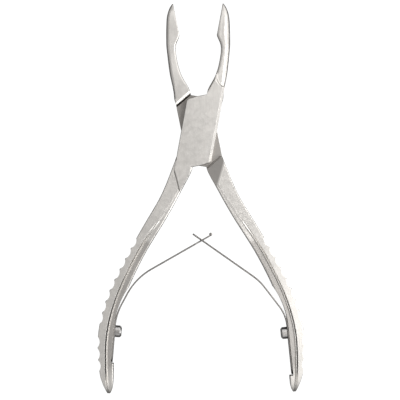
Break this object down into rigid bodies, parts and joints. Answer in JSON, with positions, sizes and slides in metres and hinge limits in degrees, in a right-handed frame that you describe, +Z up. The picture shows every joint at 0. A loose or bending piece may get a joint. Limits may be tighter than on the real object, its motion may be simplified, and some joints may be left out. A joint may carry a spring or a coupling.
{
  "type": "bone rongeur",
  "caption": "Single-action bone-cutting pliers with slim pointed spoon jaws, a screwed lap joint, serrated bowed handles and crossed leaf springs.",
  "frame": {"origin": "on the pivot screw's axis, at the height of the flat face the instrument lies on", "axes": "+Y towards the jaw tips, +X towards the jaw of the front arm (right in the picture), +Z up, out of the face that shows no screw"},
  "size_m": [0.0766, 0.1438, 0.008],
  "materials": {
    "satin_steel": "satin stainless steel, finely brushed, with brighter bevels",
    "spring_steel": "polished spring steel",
    "screw_steel": "polished turned steel"
  },
  "bodies": {
    "front_arm": {"front_arm": "satin_steel", "joint_screw": "screw_steel", "left_spring_screw": "screw_steel"},
    "rear_arm": {"rear_arm": "satin_steel", "right_spring_screw": "screw_steel"},
    "left_spring": {"left_spring": "spring_steel"},
    "right_spring": {"right_spring": "spring_steel"}
  },
  "joints": [
    {"name": "jaw_pivot", "type": "hinge", "parent": "front_arm", "child": "rear_arm", "pos_m": [0, 0, 0.004], "axis": [0, 0, -1], "range_deg": [0, 22], "stiffness_Nm_per_rad": 2},
    {"name": "left_spring_flex", "type": "hinge", "parent": "front_arm", "child": "left_spring", "pos_m": [-0.026, -0.0582, 0.004], "axis": [0, 0, 1], "range_deg": [0, 15.1], "deforming": ["left_spring"]},
    {"name": "right_spring_flex", "type": "hinge", "parent": "rear_arm", "child": "right_spring", "pos_m": [0.0264, -0.0617, 0.004], "axis": [0, 0, -1], "range_deg": [0, 17.7], "deforming": ["right_spring"]}
  ],
  "couplings": [
    {"joint": "left_spring_flex", "follows": "jaw_pivot", "ratio": 0.68},
    {"joint": "right_spring_flex", "follows": "jaw_pivot", "ratio": 0.8}
  ]
}
